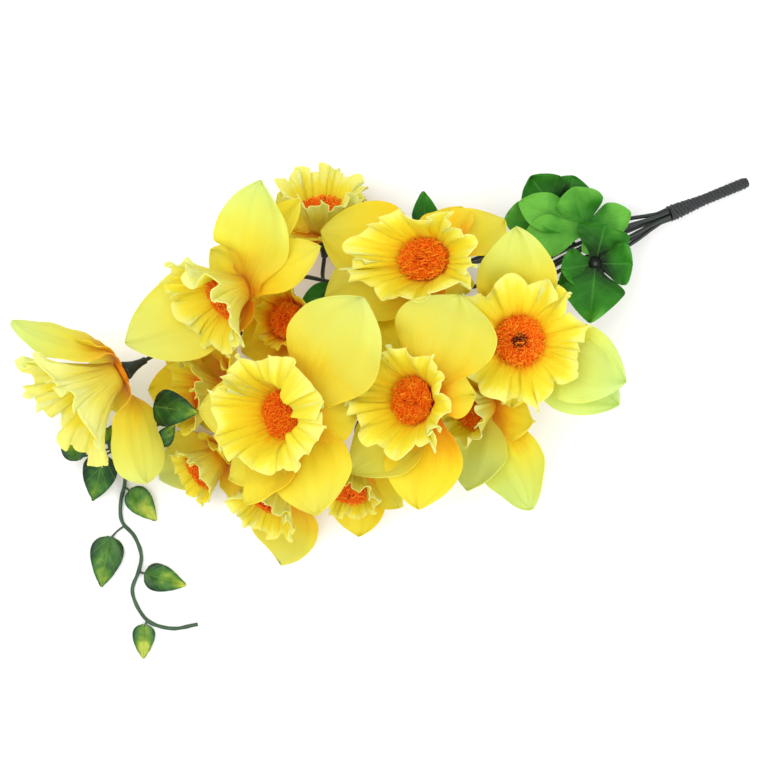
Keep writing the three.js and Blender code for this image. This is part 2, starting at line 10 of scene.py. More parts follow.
import bpy
import numpy as np
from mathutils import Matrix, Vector


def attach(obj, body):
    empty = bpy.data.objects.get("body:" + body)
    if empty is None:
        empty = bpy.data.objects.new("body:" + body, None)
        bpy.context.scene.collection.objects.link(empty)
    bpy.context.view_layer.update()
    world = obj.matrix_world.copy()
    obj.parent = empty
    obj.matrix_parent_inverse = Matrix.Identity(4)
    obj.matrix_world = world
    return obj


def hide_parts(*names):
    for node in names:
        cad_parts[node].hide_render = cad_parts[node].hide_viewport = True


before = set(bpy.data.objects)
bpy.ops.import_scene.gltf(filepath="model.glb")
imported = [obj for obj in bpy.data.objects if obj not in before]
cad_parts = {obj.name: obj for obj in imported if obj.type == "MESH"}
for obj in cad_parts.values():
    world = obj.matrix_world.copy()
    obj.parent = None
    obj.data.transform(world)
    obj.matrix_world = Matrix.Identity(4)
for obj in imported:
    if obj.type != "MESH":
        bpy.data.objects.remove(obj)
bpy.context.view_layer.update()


class Sizes(dict):
    """Values that are read by their names."""
    __getattr__ = dict.__getitem__


MM = 0.001
BINDING_ANGLE = 22.5  # direction of the handle in the layout frame
HANDLE_TIP = (171.2, 92.3, 2.5)
CLIMB = 0.2  # rise of the bound stems' line for each millimetre along it
CLIMB_END = 215  # how far along it the line rises
PLACE = (-17.80, -11.98)  # where the layout's origin lies in the frame
GAP = 0.3  # between the handle and the stems

# Thickness of the sheets, and their rows and columns of points
FABRIC = 0.36
IVY_SHEET = 0.7
SMALL_PETAL, SMALL_CUP = 30, 0.7  # the width and the size up to which they count as small
FINE = {
    "petal": (40, 28), "small petal": (20, 16), "leaf": (28, 22), "ivy leaf": (26, 20),
    "big cup": (33, 288), "small cup": (22, 168),
}
SHARP = 70  # angle between faces from which their edge isn't shaded smooth

# The frame's own sizes. The broad folds of a cup reach fold outwards and lift along it, vary by swing, and
# start at another phase in each bloom. Late and flare say how late it widens, curl how its height grows,
# and least how low the smallest is.
HUB = Sizes(radius=6, low=0.3, high=2.9)
LAYERS = (1.0, 2.2)
CORONA = Sizes(
    root=6.2, rim=28, low=3.8, high=33, folds=8, fold=2.8, lift=3.2, swing=0.3, phase=1.7, late=0.2,
    flare=2.4, least=0.3, curl=0.9,
)
PAD = Sizes(foot=3.5, radius=11.2, low=4.6, shoulder=15.5)
STEM = Sizes(radius=0.95, slot=2.4, neck=26, branch_neck=22)
STEM_STEPS = Sizes(arm=90, branch=40, twig=16, ivy=170, stalk=12)
CALYX = Sizes(radius=4.4, long=11, foot=1.65, waist=2.45, sunk=2, flutes=6, flute=0.07)
HANDLE = Sizes(tip=2.5, top=3.6, long=40)
FAN = ((GAP, 0), (6, 0), (22, 0.6), (45, 1))  # distances past the handle, and a stem's share of its fan
WHORL = Sizes(hub=3.4, layer=1.2, twig=2.4, neck=2.5)
IVY = Sizes(radius=0.9, wide=0.64, lean=88, stalk=0.5, sunk=1.5)

# Blades. Root and tip are half widths; flat is the length in the plane of the face, rise the share over
# which the lean comes, and start the distance from the axis; cup and ripple bend the sheet; peak, fall and
# blunt shape the outline, and heart rounds its start. The share of pale lemon colour is painted light: it
# makes a petal look lit and glowing, while the rest is the petals' deeper, warmer yellow, which also stands
# for their shade.
PETAL = Sizes(
    root=7.5, tip=0.3, flat=4, rise=0.2, start=4, bend=0, twist=0, cup=0.12, ripple=0.8, peak=0.48,
    fall=2.1, blunt=0.86, lime=0.06,
)
LEAF = Sizes(
    root=3.4, tip=0.3, flat=1, rise=0.2, start=2.0, twist=0, cup=0.15, ripple=0.6, peak=0.55, fall=2.0,
    blunt=0.85,
)
IVY_LEAF = Sizes(
    root=0.6, tip=0.2, flat=0, rise=0.1, start=0, bend=6, twist=0, cup=0.12, ripple=0.3, peak=0.3, fall=1.7,
    blunt=1.0, heart=1,
)

PETAL_FOLDS = ((0.3, 1.5, 7), (0.13, -1, 15), (0.07, 2, 29))  # waves as (height, radians along, across)
LEAF_VEINS = (16.0, 0.32)  # radians of the side veins along a leaf, and how far they slant
IVY_VEINS = (11.0, 0.42)

# Cloth of the cups. Ruffles and finer ripples go round the rim and reach outwards, along the cup and
# sideways; pleats are creases as (number, depth, radians along). The folded parts of a rim lean inwards
# from one share of the depth on, and turn back outwards from another.
RUFFLES = Sizes(count=12, out=2.1, along=1.8, side=1.8, turn=0.9)
RIPPLES = Sizes(count=27, out=0.9, along=1.0, side=0.5, turn=-1.2)
PLEATS = ((19, 1, 0.7), (33, 0.6, -1))
CUP_CLOTH = Sizes(broad=0.7, late=2.4, rim=0.76, pleat=0.55, droop=1.1, foot=1.5)
FOLDED = Sizes(start=0.3, back=0.72, out=24, up=4)

# Threads of the pads: their number, radius and loops, and the top that they stand on
THREADS = Sizes(
    big=620, small=260, radius=0.19, loop=(0.7, 1.7), tall=1.4, lean=0.9, bent=0.35, stray=0.12, rim=0.9,
    dome=2.6, uneven=0.6, dark=0.6,
)

# Each bloom: base, where its petals meet; face, the way they look; mouth, the way the cup's mouth looks if
# it differs; cup, its size; squash, how far the mouth is narrowed sideways; deep, its depth for its size;
# folded, parts of its rim that lean inwards, as (direction, width, share); warm, its cup's shift towards
# orange, which is painted shade in i, j and m, and below zero a shift towards pale yellow; specks, the
# share of the pad's radius with dark threads; tone, the petals' shift towards pale yellow, which below zero
# is painted shade that deepens the petals of i, j and m towards orange
BLOOMS = {
    "a": dict(base=(-58.5, 41.5, 68), face=(-0.8, -0.2, 0.56), mouth=(-0.7, -0.65, 0.42), cup=0.81),
    "b": dict(base=(-26, 66.5, 24), face=(-0.04, 0.86, 0.5), mouth=(0.03, 0.87, 0.49), cup=0.68, warm=-0.5),
    "c": dict(
        base=(26, 53, 60), face=(-0.5, 0.05, 0.86), mouth=(-0.35, 0.05, 0.93), cup=0.86, squash=-0.25,
    ),
    "d": dict(base=(62, 17.5, 54), face=(0.02, 0, 1), mouth=(0.06, 0, 1), cup=0.98, deep=0.5, specks=0.27),
    "e": dict(base=(23.3, -9, 76), face=(-0.7, 0, 0.7), mouth=(-0.37, 0, 0.92), cup=0.82),
    "f": dict(
        base=(-32.5, -14.5, 80), face=(-0.8, 0, 0.6), mouth=(-0.24, -0.03, 0.97), cup=0.91,
        folded=[(38, 60, 0.56), (-50, 30, 0.3)],
    ),
    "g": dict(
        base=(-116, 4, 44), face=(-0.86, -0.46, 0.22), mouth=(-0.73, -0.59, 0.34), cup=0.92, deep=1.15,
        squash=0.15, warm=-0.6,
    ),
    "h": dict(base=(50, -10, 34), face=(-0.6, -0.3, 0.74), mouth=(-0.82, -0.15, 0.5), cup=0.5),
    "i": dict(base=(-68, -6, 28), face=(-0.9, -0.05, 0.4), cup=0.62, tone=-0.9, warm=0.7),
    "j": dict(
        base=(-72, -34, 18), face=(-0.7, -0.55, 0.35), mouth=(-0.72, -0.46, 0.44), cup=0.47, tone=-0.5,
        warm=0.3,
    ),
    "k": dict(base=(-45, -43.5, 26), face=(-0.35, -0.8, 0.35), mouth=(-0.45, -0.7, 0.4), cup=0.6),
    "l": dict(base=(-12, -39.5, 28), face=(-0.1, -0.75, 0.55), cup=0.45),
    "m": dict(base=(-35, 26, 34), face=(-0.5, 0.1, 0.85), cup=0.48, tone=-1.2, warm=1.3),
}

# Petals of each bloom as (turn, lean, long, wide), with any values that differ from PETAL. A petal's own
# tone
# is painted light: it makes the large front petals of e and f and a lower petal of h paler, as lit.
PETALS = {
    "a": [
        (60, 130, 44, 20), (57, 88, 52, 35, {"twist": 40, "peak": 0.4, "root": 11, "lime": 0.85}),
        (20, 120, 41, 22), (-114, 82, 40, 30, {"twist": 40}), (-159, 38, 62, 39, {"lime": 0.5}),
        (130, 75, 21, 22),
    ],
    "b": [
        (90, 75, 38, 26), (30, 50, 22, 22), (-30, 60, 24, 24), (-90, 60, 22, 24), (-150, 60, 28, 24),
        (145, 50, 26, 20),
    ],
    "c": [
        (85, 140, 30, 26), (165, 62, 51, 40), (-160, 62, 50, 38), (-113, 81, 46, 44), (-60, 165, 22, 18),
        (45, 146, 38, 27),
    ],
    "d": [
        (92, 66, 50, 36, {"lime": 0.7}), (-21, 82, 48, 36, {"lime": 1}),
        (-32, 88, 50, 34, {"bend": 5, "lime": 1}), (-95, 95, 26, 24), (-150, 100, 22, 24),
        (165, 100, 20, 24),
    ],
    "e": [
        (10, 165, 20, 20),
        (72, 96, 45, 47, {"twist": 30, "peak": 0.58, "fall": 2.6, "lime": 0.5, "tone": 0.4}),
        (-134, 60, 46, 36, {"lime": 0.35}), (-94, 85, 44.5, 36, {"twist": -25}), (176, 62, 32, 32),
    ],
    "f": [
        (0, 160, 24, 28),
        (53, 96, 59, 47, {"twist": 26, "peak": 0.5, "root": 10, "lime": 0.6, "tone": 0.35}),
        (-72, 85, 43, 40, {"twist": -25, "lime": 0.12}), (-115, 62, 45, 30), (-142, 68, 47, 36),
        (178, 55, 50, 34),
    ],
    "g": [
        (88, 30, 54, 30, {
            "bend": 22, "twist": -30, "peak": 0.35, "fall": 5, "flat": 2, "root": 16, "lime": 0.9,
        }),
        (-91, 72, 48, 30, {"twist": 55, "peak": 0.55, "fall": 4, "root": 18, "lime": 0.6}),
        (108, 46, 26, 22), (-150, 60, 24, 24), (165, 75, 30, 28),
    ],
    "h": [
        (-75, 90, 49, 38, {"lime": 0.95}), (-104, 62, 38, 30, {"lime": 0.7, "tone": 1.6}), (40, 90, 24, 24),
        (-20, 90, 22, 24), (110, 85, 20, 24), (170, 55, 24, 24),
    ],
    "i": [
        (90, 52, 26, 28), (30, 60, 20, 24), (-30, 55, 22, 26), (175, 46, 43, 30), (-140, 50, 20, 22),
        (142, 52, 38, 30),
    ],
    "j": [
        (90, 50, 12, 16), (30, 55, 12, 16), (-30, 55, 11, 15), (-90, 60, 20, 22),
        (180, 46, 37, 28, {"lime": 0.7}), (142, 52, 26, 22),
    ],
    "k": [
        (90, 50, 26, 24), (30, 60, 20, 22), (-30, 65, 16, 18), (-122, 62, 53, 36, {"lime": 0.3}),
        (-168, 55, 24, 21), (150, 50, 11, 14),
    ],
    "l": [
        (90, 50, 24, 24), (30, 50, 26, 24), (-30, 50, 26, 24), (-90, 50, 32, 26), (-150, 50, 19, 20),
        (150, 50, 22, 20),
    ],
    "m": [(-30, 50, 26, 24), (-150, 60, 27, 26), (-90, 50, 31, 26), (150, 50, 26, 24)],
}

# Whorls: the stem that carries the twig; hub; face; light, from dark green to light green; leaves as
# (turn, lean, bend, long, wide), with any values that differ from LEAF
WHORLS = {
    "whorl_upper": Sizes(stem="stem_cb", hub=(94, 69, 31), face=(0.05, 0.1, 0.98), light=0.85, leaves=[
        (105, 80, 10, 18, 21), (159, 85, 5, 31, 18), (-168, 90, 0, 28, 19), (20, 80, 5, 20, 15),
        (-60, 85, 0, 12, 14),
    ]),
    "whorl_lower": Sizes(stem="stem_el", hub=(98, 53, 38), face=(-0.05, -0.05, 0.98), light=0.15, leaves=[
        (76, 75, 0, 17, 24, {"peak": 0.75, "fall": 5}), (0, 80, 5, 15, 19, {"peak": 0.7, "fall": 4}),
        (-95, 85, 8, 25, 29, {"peak": 0.42, "fall": 1.1}), (-135, 95, 5, 19, 16), (-170, 80, 0, 14, 17),
    ]),
    "whorl_back": Sizes(stem="stem_am", hub=(83, 72.5, 26.5), face=(0, 0.1, 0.98), light=0.1, leaves=[
        (74, 85, 0, 20, 24), (124, 85, 0, 23, 22), (178, 90, 0, 24, 19),
    ]),
    "whorl_middle": Sizes(stem="stem_am", hub=(-13, 38.5, 47), face=(-0.1, 0.1, 0.98), light=0.1, leaves=[
        (-174, 86, 5, 20, 14), (-60, 90, 0, 9, 10),
    ]),
    "whorl_top": Sizes(stem="stem_cb", hub=(22, 62, 20), face=(0, 0.1, 0.98), light=0.3, leaves=[
        (95, 80, 5, 23, 12, {"fall": 1.2}), (150, 85, 5, 14, 11),
    ]),
}

# Each fork: the bloom at the end of its arm, the bloom on its branch, where along the arm the branch
# leaves, the arm's place round the binding's line (None for the middle one), how far it fans out, and
# points that the arm and the branch pass.
FORKS = {
    "stem_cb": ("b", "c", 0.5, 15, 6, [(50, 58, 20), (4, 40, 9)], []),
    "stem_am": ("a", "m", 0.7, 68, 6, [(55, 46, 32), (10, 38, 36), (-20, 44, 39)], []),
    "stem_fk": ("k", "f", 0.65, 121, 5, [(50, 32, 30), (-5, -2, 28)], []),
    "stem_el": ("l", "e", 0.7, 174, 6, [(60, 32, 24), (25, 6, 22)], [(36, 6, 50)]),
    "stem_dh": ("h", "d", 0.5, 227, 6, [], []),
    "stem_j": ("j", None, 0, 280, 4, [(50, 36, 12), (0, 8, 12)], []),
    "stem_gi": ("g", "i", 0.7, None, 0, [(60, 41, 21), (10, 26, 20), (-45, 16, 22), (-75, 24, 35)], []),
}

# The ivy's line, and its leaves as (base, turn, long, tilt)
IVY_LINE = [
    (-60, -9, 12), (-82, -19, 15), (-100, -20, 20), (-114, -24, 22), (-125, -29, 18), (-119, -40, 11),
    (-119, -48, 3), (-121, -57, 1.2), (-120.4, -66, 1.2), (-114.6, -73, 1.2), (-111.4, -82, 1.2),
    (-112.6, -89, 1.2), (-115.6, -98, 1.2), (-112.6, -107, 1.2), (-107.4, -113, 1.2), (-97, -116, 1.2),
    (-85, -114, 1.2),
]
IVY_LEAVES = [
    ((-103, -12, 38), -7, 26, 38), ((-101, -30, 26), 56, 12, 0), ((-139, -37, 18), 110, 19, -10),
    ((-127.5, -34.5, 16), -106, 25, -25), ((-128, -29, 19), 60, 9, 0), ((-116.5, -51, 4), -50, 19, 0),
    ((-126, -73, 1.5), -100, 24, 0), ((-109.8, -90.3, 1.5), -16, 20, 0), ((-110, -114, 1.5), -92, 16, 0),
]


def unit(vectors):
    vectors = np.asarray(vectors, float)
    return vectors / np.linalg.norm(vectors, axis=-1, keepdims=True)


def smoothstep(x, low, high):
    t = np.clip((x - low) / (high - low), 0, 1)
    return t * t * (3 - 2 * t)


def varied(number, step=0.37):
    """A share from 0 to 1 that jumps from each number to the next."""
    return (step * number) % 1


def ring_angles(sides):
    return np.arange(sides) * 2 * pi / sides


def axes_of(direction):
    """Right, up and ahead of something that looks along a direction. Up is nearly the layout's +Y."""
    ahead = unit(direction)
    up = unit(np.array([0.0, 1.0, 0.0]) - ahead * ahead[1])
    return np.cross(up, ahead), up, ahead


def place(points):
    """Layout millimetres to the frame's metres."""
    turn = -radians(BINDING_ANGLE)
    x = points[:, 0] * cos(turn) - points[:, 1] * sin(turn) + PLACE[0]
    y = points[:, 0] * sin(turn) + points[:, 1] * cos(turn) + PLACE[1]
    return np.stack([x, y, points[:, 2]], axis=1) * MM


# Meshes: a part is (points, list of arrays of faces, {attribute: values})
def grid_faces(rows, columns, closed=False):
    """Faces between the points of a grid. A closed one joins its last column to its first."""
    across = columns if closed else columns - 1
    i, j = np.meshgrid(np.arange(rows - 1), np.arange(across), indexing="ij")
    here = i * columns + j
    beside = i * columns + (j + 1) % columns
    return np.stack([here, here + columns, beside + columns, beside], axis=-1).reshape(-1, 4)


def tube_faces(rows, columns):
    """Faces of a tube made of rings: its walls, and one face over each end."""
    ring = np.arange(columns)
    ends = np.stack([ring[::-1], ring + (rows - 1) * columns])
    return grid_faces(rows, columns, closed=True)[:, ::-1], ends


def shell(points, faces, thick, attributes):
    """A closed sheet: both sides are the same faces, thick apart, and a band closes the free edges."""
    corners = points[faces]
    turned = np.cross(corners[:, 2] - corners[:, 0], corners[:, 3] - corners[:, 1])
    normals = np.zeros_like(points)
    for i in range(4):
        np.add.at(normals, faces[:, i], turned)
    normals = unit(normals)
    count = len(points)
    edges = np.concatenate([faces[:, [i, (i + 1) % 4]] for i in range(4)])
    low, high = edges.min(axis=1), edges.max(axis=1)
    _, first, uses = np.unique(low * count + high, return_index=True, return_counts=True)
    rim = edges[first[uses == 1]]
    band = np.stack([rim[:, 0] + count, rim[:, 1] + count, rim[:, 1], rim[:, 0]], axis=1)
    both = np.concatenate([points + normals * thick / 2, points - normals * thick / 2])
    sides = {name: np.concatenate([values, values]) for name, values in attributes.items()}
    return both, [faces, faces[:, ::-1] + count, band], sides


def pipes(paths, radii, sides, reference=(0.31, 0.22, 0.93)):
    """Round tubes with closed ends along several lines at once. Radii has one number for each point."""
    lines, steps, _ = paths.shape
    tangent = unit(np.gradient(paths, axis=1))
    side = unit(np.cross(reference, tangent))
    other = np.cross(tangent, side)
    angle = ring_angles(sides)
    ring = side[:, :, None] * np.cos(angle)[:, None] + other[:, :, None] * np.sin(angle)[:, None]
    points = paths[:, :, None] + ring * radii[..., None, None]
    walls, ends = tube_faces(steps, sides)
    offsets = np.arange(lines)[:, None] * steps * sides
    walls = (walls[None] + offsets[:, None]).reshape(-1, 4)
    ends = (ends[:, None] + offsets).reshape(-1, sides)
    return points.reshape(-1, 3), [walls, ends]


def revolve(profile, sides, origin, axes):
    """A closed round body about an axis, from (radius, height) pairs that start and end on the axis."""
    right, up, ahead = axes
    inner = np.asarray(profile[1:-1], float)
    angle = ring_angles(sides)
    around = np.cos(angle)[:, None] * right + np.sin(angle)[:, None] * up
    rings = inner[:, None, :1] * around[None] + inner[:, None, 1:] * ahead
    poles = [ahead * profile[0][1], ahead * profile[-1][1]]
    points = np.concatenate([rings.reshape(-1, 3), poles]) + origin
    count = len(inner) * sides
    walls = grid_faces(len(inner), sides, closed=True)[:, ::-1]
    here = np.arange(sides)
    beside = (here + 1) % sides
    top = count - sides
    low = np.stack([beside, here, np.full(sides, count)], axis=1)
    high = np.stack([here + top, beside + top, np.full(sides, count + 1)], axis=1)
    return points, [walls, low, high]


def add_object(name, data):
    """An object in the scene. The pieces of the bunch go through add_piece."""
    made = bpy.data.objects.new(name, data)
    bpy.context.scene.collection.objects.link(made)
    return made


def add_piece(name, parts, material, slot, *nodes):
    """One object from several parts. It rides on the root body and stands for the frame's nodes."""
    points = np.concatenate([part[0] for part in parts])
    faces = []
    start = 0
    for part in parts:
        for array in part[1]:
            faces += (array + start).tolist()
        start += len(part[0])
    mesh = bpy.data.meshes.new(name)
    mesh.from_pydata(place(points).tolist(), [], faces)
    for key in parts[0][2]:
        values = np.concatenate([np.broadcast_to(part[2][key], len(part[0])) for part in parts])
        mesh.attributes.new(key, "FLOAT", "POINT").data.foreach_set("value", values.astype(np.float32))
    mesh.shade_smooth()
    mesh.set_sharp_from_angle(angle=radians(SHARP))
    mesh.materials.append(material)
    piece = add_object(name, mesh)
    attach(piece, "root")
    if nodes:
        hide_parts(*nodes)


# Blades: petals and leaves
BLADE_KEYS = ("along", "across", "reach", "run", "tone", "lime")  # what the materials read from them
SPINE_STEPS = 192  # short straight steps that a blade's middle line is summed from
ROOT_SHARE = 0.3  # of the whole width, the most that half the root may be
TWISTED_AT = 0.35  # share of the length where the twist is complete


def make_blade(form, height, turn, lean, long, wide, own=None):
    """A blade's form with its place, its size and any values of its own."""
    placed = {"height": height, "turn": turn, "lean": lean, "long": long, "wide": wide}
    return Sizes({**form, **placed, **(own or {})})


def blade_points(origin, axes, blade, us, vs, relief):
    """A grid of points on a blade, with relief(u, v, half) added to its lift."""
    right, up, ahead = axes
    turn = radians(blade.turn)
    out = right * cos(turn) + up * sin(turn)
    side = np.cross(ahead, out)
    long = blade.long

    def angle_at(u):
        risen = np.clip((u - blade.flat / long) / blade.rise, 0, 1)
        return np.radians(90 + (blade.lean - 90) * risen + blade.bend * u)

    middle = angle_at((np.arange(SPINE_STEPS) + 0.5) / SPINE_STEPS)[:, None]
    move = np.sin(middle) * out + np.cos(middle) * ahead
    spine = np.concatenate([np.zeros((1, 3)), np.cumsum(move * long / SPINE_STEPS, axis=0)])
    spine += origin + out * blade.start + ahead * blade.height
    knots = np.linspace(0, 1, SPINE_STEPS + 1)
    at = np.stack([np.interp(us, knots, spine[:, k]) for k in range(3)], axis=1)
    angle = angle_at(us)[:, None]
    normal = ahead * np.sin(angle) - out * np.cos(angle)
    turned = (radians(blade.twist) * smoothstep(us, blade.flat / long, TWISTED_AT))[:, None]
    wing = side * np.cos(turned) + normal * np.sin(turned)
    normal = normal * np.cos(turned) - side * np.sin(turned)
    spread = smoothstep(us, 0, blade.peak)
    if blade.get("heart"):
        spread = np.sqrt(1 - (1 - np.clip(us / blade.peak, 0, 1)) ** 2)
    past = np.clip((us - blade.peak) / (1 - blade.peak), 0, None)
    narrow = (1 - past ** blade.fall) ** blade.blunt
    root = min(blade.root, ROOT_SHARE * blade.wide)
    half = (root + (blade.wide / 2 - root) * spread) * narrow + blade.tip * us
    u, v = np.meshgrid(us, vs, indexing="ij")
    lift = blade.cup * v * v * (half * spread)[:, None]
    lift += blade.ripple * u * np.sin(4 * v + blade.turn)
    lift += relief(u, v, half[:, None], spread[:, None])
    sideways = half[:, None] * v
    points = at[:, None] + wing[:, None] * sideways[..., None] + normal[:, None] * lift[..., None]
    return points, u, v, half


def blade_part(origin, axes, blade, size, thick, relief, tone):
    """A blade as a closed sheet that keeps each point's place, in shares and in millimetres."""
    rows, columns = FINE[size]
    us = 1 - (1 - np.linspace(0, 1, rows)) ** 1.25  # the rows are closer together near the tip
    points, u, v, half = blade_points(origin, axes, blade, us, np.linspace(-1, 1, columns), relief)
    points = points.reshape(-1, 3)
    points[:, 2] = np.maximum(points[:, 2], thick / 2)
    attributes = {
        "along": u.ravel(), "across": v.ravel(), "reach": (v * half[:, None]).ravel(),
        "run": (u * blade.long).ravel(),
    }
    points, faces, looks = shell(points, grid_faces(rows, columns), thick, attributes)
    return points, faces, {**looks, "tone": tone, "lime": blade.get("lime", 0.0)}


def groove(u, v, deep, width, fade):
    """A groove along the middle, which fades towards the tip."""
    return -deep * np.exp(-((v / width) ** 2)) * (1 - fade * u)


def side_veins(u, v, veins, deep, width):
    """Grooves that leave the middle and slant towards the tip."""
    count, slant = veins
    return -deep * np.exp(-((np.sin(count * (u - slant * np.abs(v))) / width) ** 2)) * np.abs(v) ** 0.3


def wave(u, v, phase, high=1.0, along=0, across=0):
    """A sine wave over a blade, from its radians along and across it."""
    return high * np.sin(along * u + across * v + phase)


def tip_curl(u, start, high):
    return high * np.clip(u - start, 0, None) ** 2


def petal_relief(seed):
    """A groove along the middle, soft folds that run out to the tip, and an edge that waves and curls."""
    draw = np.random.default_rng(seed)
    phases = draw.uniform(0, 2 * pi, 8)
    tilt, curl, tip = draw.uniform(-0.3, 0.3), draw.uniform(-1, 1), draw.uniform(-1, 1)

    def relief(u, v, half, spread):
        bow = v - tilt * (u - 0.4)
        lift = groove(u, bow, deep=0.7, width=0.08, fade=0.7)
        lift += half * wave(u, bow, phases[0], high=0.075, along=1.3, across=3.1)
        for phase, fold in zip(phases[1:4], PETAL_FOLDS):
            lift += wave(u, bow, phase, *fold)
        edge = 0.09 * curl * np.sign(v) + wave(u, v, phases[4], high=0.075, along=8, across=1.8)
        edge += wave(u, v, phases[5], high=0.03375, along=19, across=-1)
        dent = wave(u, v, phases[6], high=0.9, along=3.1) * wave(u, v, phases[7], across=2.3)
        return (lift + np.abs(v) ** 3 * half * edge + dent) * spread + tip * half * tip_curl(u, 0.72, 4.5)

    return relief


def leaf_relief(seed):
    """A sunk midrib, side veins that slant towards the tip, and a crumpled, wavy edge."""
    draw = np.random.default_rng(seed)
    phases = draw.uniform(0, 2 * pi, 5)
    fold = draw.uniform(-0.16, 0.16)

    def relief(u, v, half, spread):
        away = np.abs(v)
        lift = groove(u, v, deep=0.5, width=0.06, fade=0.7)
        lift += side_veins(u, v, LEAF_VEINS, deep=0.16, width=0.25)
        puff = 0.5 * np.sqrt(away * (1 - away))
        keel = (0.12 + fold) * half * away
        edge = wave(u, v, phases[0], high=0.13, along=8, across=1.5)
        edge += wave(u, v, phases[1], high=0.065, along=21)
        dent = wave(u, v, phases[2], high=0.8, along=5) * wave(u, v, phases[3], across=3.3)
        return (lift + puff + keel + half * away ** 2 * edge + dent) * spread

    return relief


def ivy_relief(seed):
    """A moulded leaf: its sides rise from the midrib, and the flesh bulges between the veins."""
    phases = np.random.default_rng(seed).uniform(0, 2 * pi, 2)

    def relief(u, v, half, spread):
        away = np.abs(v)
        lift = groove(u, v, deep=0.55, width=0.07, fade=0.6)
        lift += side_veins(u, v, IVY_VEINS, deep=0.3, width=0.3)
        keel = half * (0.22 * away - 0.26 * away ** 4)
        lumps = wave(u, v, phases[0], high=0.22, along=13, across=2) * wave(u, v, phases[1], across=6)
        return (lift + keel + lumps) * spread - half * tip_curl(u, 0.6, 2.2)

    return relief


blooms = {}
for index, (key, given) in enumerate(BLOOMS.items()):
    blooms[key] = Sizes({
        "squash": 0, "deep": 1, "folded": (), "warm": 0.0, "specks": 0, "tone": 0, **given, "index": index,
        "axes": axes_of(given["face"]), "towards": unit(given.get("mouth", given["face"])),
        "origin": np.array(given["base"], float), "phase": CORONA.phase * index,
        "size": "big" if given["cup"] > SMALL_CUP else "small",
    })


def behind(bloom, distance):
    """A point on the line of a bloom's stem, behind its base."""
    return bloom.origin - bloom.axes[2] * distance


def petals_parts(bloom, petals):
    parts = []
    for number, petal in enumerate(petals):
        blade = make_blade(PETAL, LAYERS[number % 2], *petal)
        seed = 100 * bloom.index + number
        size = "petal" if blade.wide > SMALL_PETAL else "small petal"
        # Each petal's tone varies at random about its bloom's; a bloom's tone below zero is painted shade,
        # and a petal's own tone is painted light.
        tone = blade.get("tone", bloom.tone + varied(seed))
        parts.append(blade_part(bloom.origin, bloom.axes, blade, size, FABRIC, petal_relief(seed), tone))
    low, high, radius = HUB.low, HUB.high, HUB.radius
    rims = [(radius - 1, low), (radius, low + 0.6), (radius, high - 0.8), (radius - 1.2, high)]
    profile = [(0, low), *rims, (0, high)]
    parts.append((*revolve(profile, 24, bloom.origin, bloom.axes), dict.fromkeys(BLADE_KEYS, 0.0)))
    return parts


# Cups
def mouth_points(bloom, angle, radius, height):
    """Points about the bent axis of a cup, which starts along the bloom's face and ends along its mouth."""
    _, up, ahead = bloom.axes
    t = (height / CORONA.high)[..., None]
    centre = bloom.origin + ahead * CORONA.high * (t - t * t / 2)
    centre = centre + bloom.towards * CORONA.high * t * t / 2
    axis = unit(ahead * (1 - t) + bloom.towards * t)
    upward = unit(up - axis * (axis @ up)[..., None])
    rightward = np.cross(upward, axis)
    flat = bloom.squash * t
    centre = centre + rightward * (radius * np.cos(angle))[..., None] * (1 - flat)
    return centre + upward * (radius * np.sin(angle))[..., None] * (1 + flat)


def pleat(x):
    """A wave with straight sides and sharp creases."""
    return 2 / pi * np.arcsin(0.96 * np.sin(x))


